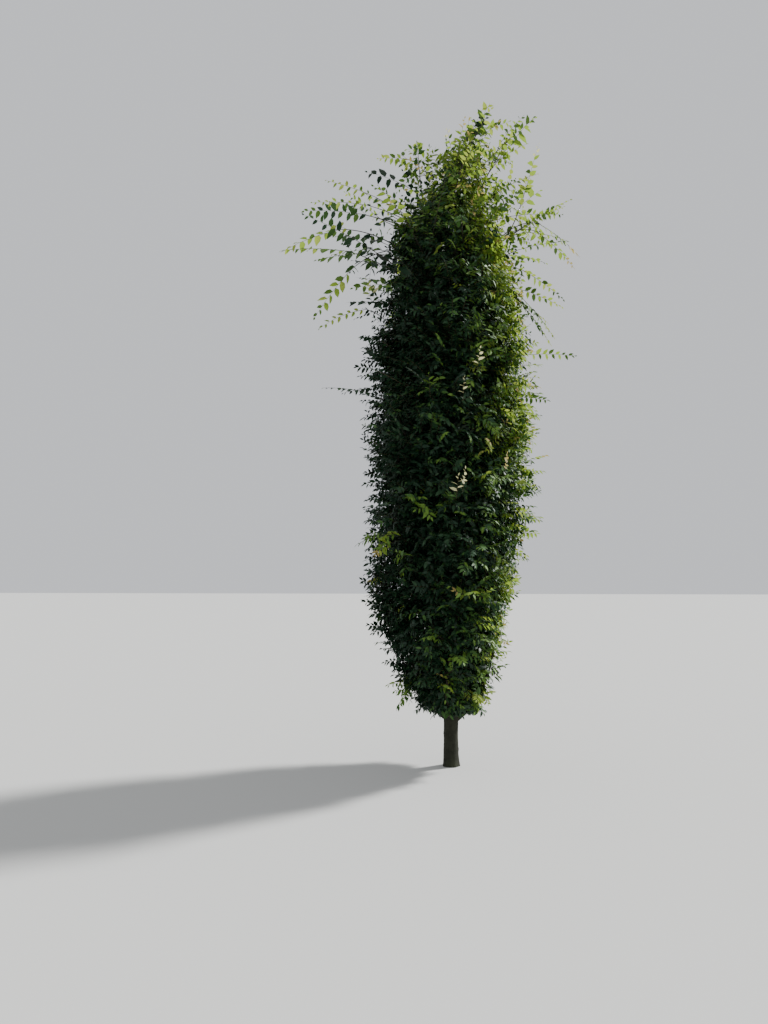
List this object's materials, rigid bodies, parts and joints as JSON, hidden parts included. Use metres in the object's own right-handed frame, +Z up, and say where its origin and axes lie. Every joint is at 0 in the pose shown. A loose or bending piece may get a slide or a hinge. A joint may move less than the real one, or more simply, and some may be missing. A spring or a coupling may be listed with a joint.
{
  "type": "japanese zelkova tree",
  "caption": "Young upright Japanese zelkova with a short clear trunk, steep boughs, a dense clipped column of leaves and long free shoots at its head.",
  "frame": {"origin": "centre of the flat cut under the trunk, at ground level", "axes": "+Z up along the trunk, -Y towards the front seen in the picture, +X to the right of that view"},
  "size_m": [2.5619, 2.0737, 5.5188],
  "materials": {
    "trunk_bark": "grey-brown bark, smooth with fine pores and shallow flakes",
    "bough_bark": "smooth brown young bark with pale pores",
    "leaf_deep": "dark green leaves, matt above",
    "leaf_mid": "mid green leaves, matt above",
    "leaf_light": "young yellow-green leaves"
  },
  "bodies": {
    "root": {"bough_flank_back": "bough_bark", "bough_flank_front": "bough_bark", "bough_flank_left": "bough_bark", "bough_flank_right": "bough_bark", "bough_head_back": "bough_bark", "bough_head_front": "bough_bark", "bough_head_left": "bough_bark", "bough_head_right": "bough_bark", "bough_shoulder_left": "bough_bark", "bough_shoulder_left_back": "bough_bark", "bough_shoulder_left_front": "bough_bark", "bough_shoulder_right": "bough_bark", "bough_shoulder_right_back": "bough_bark", "bough_shoulder_right_front": "bough_bark", "bough_skirt_back": "bough_bark", "bough_skirt_front": "bough_bark", "bough_skirt_left": "bough_bark", "bough_skirt_right": "bough_bark", "bough_waist_back_left": "bough_bark", "bough_waist_back_right": "bough_bark", "bough_waist_front_left": "bough_bark", "bough_waist_front_right": "bough_bark", "foliage_flank_back": "leaf_mid", "foliage_flank_front": "leaf_mid", "foliage_flank_left": "leaf_mid", "foliage_flank_right": "leaf_mid", "foliage_head_back": "leaf_light", "foliage_head_front": "leaf_light", "foliage_head_leader": "leaf_light", "foliage_head_left": "leaf_light", "foliage_head_right": "leaf_light", "foliage_shoulder_left": "leaf_mid", "foliage_shoulder_left_back": "leaf_mid", "foliage_shoulder_left_front": "leaf_mid", "foliage_shoulder_right": "leaf_mid", "foliage_shoulder_right_back": "leaf_mid", "foliage_shoulder_right_front": "leaf_mid", "foliage_skirt_back": "leaf_deep", "foliage_skirt_front": "leaf_deep", "foliage_skirt_left": "leaf_deep", "foliage_skirt_right": "leaf_deep", "foliage_waist_back_left": "leaf_deep", "foliage_waist_back_right": "leaf_deep", "foliage_waist_front_left": "leaf_deep", "foliage_waist_front_right": "leaf_deep", "trunk": "trunk_bark"}
  },
  "joints": []
}
